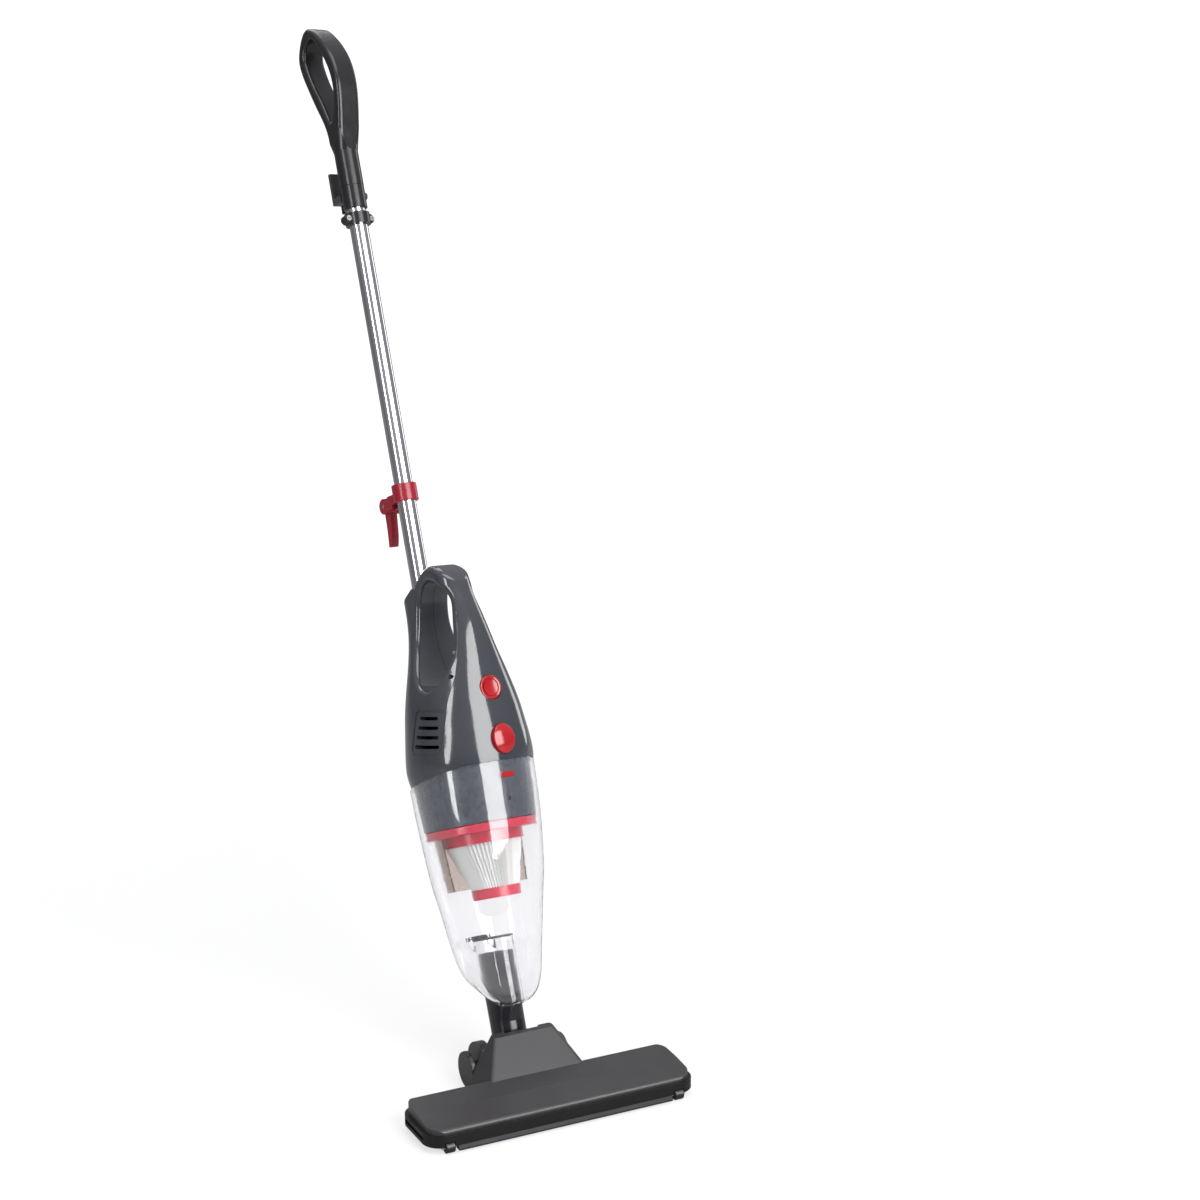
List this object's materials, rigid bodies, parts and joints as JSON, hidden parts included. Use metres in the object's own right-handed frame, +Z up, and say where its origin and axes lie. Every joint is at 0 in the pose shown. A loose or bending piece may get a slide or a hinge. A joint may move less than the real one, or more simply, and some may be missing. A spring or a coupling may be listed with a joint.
{
  "type": "cordless stick vacuum",
  "caption": "Upright stick vacuum: looped handle on a long tube, tapered hand unit with a clear dust bin and cone filter, tilting neck and a wide floor head.",
  "frame": {"origin": "on the floor under the middle of the floor head's bar", "axes": "+X along the floor head, -Y towards the front of the floor head, +Z up; the hand unit leans 23 degrees back and is turned 11 degrees about the neck"},
  "size_m": [0.279, 0.5843, 0.9884],
  "materials": {
    "shell_grey": "gloss",
    "grip_dark": "satin",
    "head_grey": "satin",
    "bumper_black": "matt",
    "lip_grey": "satin",
    "sole_dark": "matt",
    "strip_red": "short pile",
    "screw_steel": "plated",
    "wheel_black": "satin",
    "neck_dark": "satin",
    "bin_clear": "clear",
    "control_red": "gloss",
    "hook_red": "satin",
    "pleat_white": "folded filter paper",
    "smoke": "translucent",
    "skirt_dark": "satin",
    "tube_chrome": "polished",
    "motor_case": "plated",
    "fan_white": "satin",
    "mount_rubber": "matt",
    "cell_wrap": "satin sleeve",
    "tray_plastic": "matt",
    "board_green": "solder mask",
    "hook_grey": "satin",
    "clip_black": "satin"
  },
  "bodies": {
    "hand_unit": {"housing_front": "shell_grey", "housing_left": "shell_grey", "housing_right": "shell_grey", "housing_screws": "screw_steel", "motor_skirt": "skirt_dark", "fan_shroud": "fan_white", "motor": "motor_case", "motor_mount": "mount_rubber", "battery_cells": "cell_wrap", "battery_tray": "tray_plastic", "control_board": "board_green", "wand_tube": "tube_chrome", "cord_hook_collar": "hook_red", "hook_pin": "screw_steel", "clamp_ring": "grip_dark", "clamp_screws": "screw_steel", "handle_collar": "grip_dark", "handle_grip": "grip_dark", "upper_cord_hook": "hook_grey", "cord_clip": "clip_black"},
    "power_button": {"power_button": "control_red"},
    "release_button": {"release_button": "control_red"},
    "lock_button": {"wand_lock_button": "hook_grey"},
    "impeller": {"impeller": "fan_white"},
    "hook_lever": {"cord_hook_lever": "hook_red"},
    "filter": {"filter_ring": "control_red", "filter_pleats": "pleat_white", "filter_cap": "control_red", "dust_deflector": "smoke"},
    "bin": {"dust_bin": "bin_clear", "inlet_duct": "bin_clear", "flap_pin": "screw_steel", "bin_catch": "control_red"},
    "flap": {"inlet_flap": "mount_rubber"},
    "neck": {"neck_tube": "neck_dark"},
    "elbow": {"tilt_elbow": "neck_dark"},
    "head": {"head_cover": "head_grey", "head_sole": "sole_dark", "head_bumper": "bumper_black", "front_lip": "lip_grey", "lint_strips": "strip_red", "sole_screws": "screw_steel", "roller_pins": "screw_steel", "wheel_axles": "screw_steel"},
    "wheel_left": {"rear_wheel_left": "wheel_black"},
    "wheel_right": {"rear_wheel_right": "wheel_black"},
    "roller_left": {"front_roller_left": "wheel_black"},
    "roller_right": {"front_roller_right": "wheel_black"}
  },
  "joints": [
    {"name": "power_press", "type": "slide", "parent": "hand_unit", "child": "power_button", "axis": [-0.1908, 0.9036, -0.3836], "range_m": [0, 0.0015], "stiffness_N_per_m": 1200, "springref_m": -0.001},
    {"name": "release_press", "type": "slide", "parent": "hand_unit", "child": "release_button", "axis": [-0.1908, 0.9036, -0.3836], "range_m": [0, 0.0025], "stiffness_N_per_m": 1500, "springref_m": -0.001},
    {"name": "lock_press", "type": "slide", "parent": "hand_unit", "child": "lock_button", "axis": [-0.9816, -0.1756, 0.0746], "range_m": [0, 0.0015], "stiffness_N_per_m": 900, "springref_m": -0.001},
    {"name": "impeller_spin", "type": "hinge", "parent": "hand_unit", "child": "impeller", "pos_m": [0.00248, 0.16694, 0.25311], "axis": [0, 0.3907, 0.9205], "continuous": true},
    {"name": "hook_swing", "type": "hinge", "parent": "hand_unit", "child": "hook_lever", "pos_m": [-0.00935, 0.34604, 0.51929], "axis": [0.9816, 0.1756, -0.0746], "range_deg": [0, 165]},
    {"name": "filter_twist", "type": "hinge", "parent": "hand_unit", "child": "filter", "pos_m": [0.00248, 0.156, 0.22734], "axis": [0, 0.3907, 0.9205], "range_deg": [0, 25]},
    {"name": "bin_pull", "type": "slide", "parent": "hand_unit", "child": "bin", "axis": [0, 0.3907, 0.9205], "range_m": [-0.14, 0]},
    {"name": "flap_swing", "type": "hinge", "parent": "bin", "child": "flap", "pos_m": [-0.00506, 0.15246, 0.11977], "axis": [0.9816, 0.1756, -0.0746], "range_deg": [-40, 0]},
    {"name": "neck_pull", "type": "slide", "parent": "bin", "child": "neck", "axis": [0, 0.3907, 0.9205], "range_m": [-0.08, 0]},
    {"name": "neck_swivel", "type": "hinge", "parent": "neck", "child": "elbow", "pos_m": [0, 0.09663, 0.05482], "axis": [0, 0.3907, 0.9205], "range_deg": [-45, 45]},
    {"name": "head_tilt", "type": "hinge", "parent": "elbow", "child": "head", "pos_m": [0, 0.081, 0.018], "axis": [1, 0, 0], "range_deg": [-23, 55]},
    {"name": "wheel_left_roll", "type": "hinge", "parent": "head", "child": "wheel_left", "pos_m": [-0.047, 0.081, 0.018], "axis": [1, 0, 0], "continuous": true},
    {"name": "wheel_right_roll", "type": "hinge", "parent": "head", "child": "wheel_right", "pos_m": [0.047, 0.081, 0.018], "axis": [1, 0, 0], "continuous": true},
    {"name": "roller_left_roll", "type": "hinge", "parent": "head", "child": "roller_left", "pos_m": [-0.119, -0.034, 0.0055], "axis": [1, 0, 0], "continuous": true},
    {"name": "roller_right_roll", "type": "hinge", "parent": "head", "child": "roller_right", "pos_m": [0.119, -0.034, 0.0055], "axis": [1, 0, 0], "continuous": true}
  ]
}
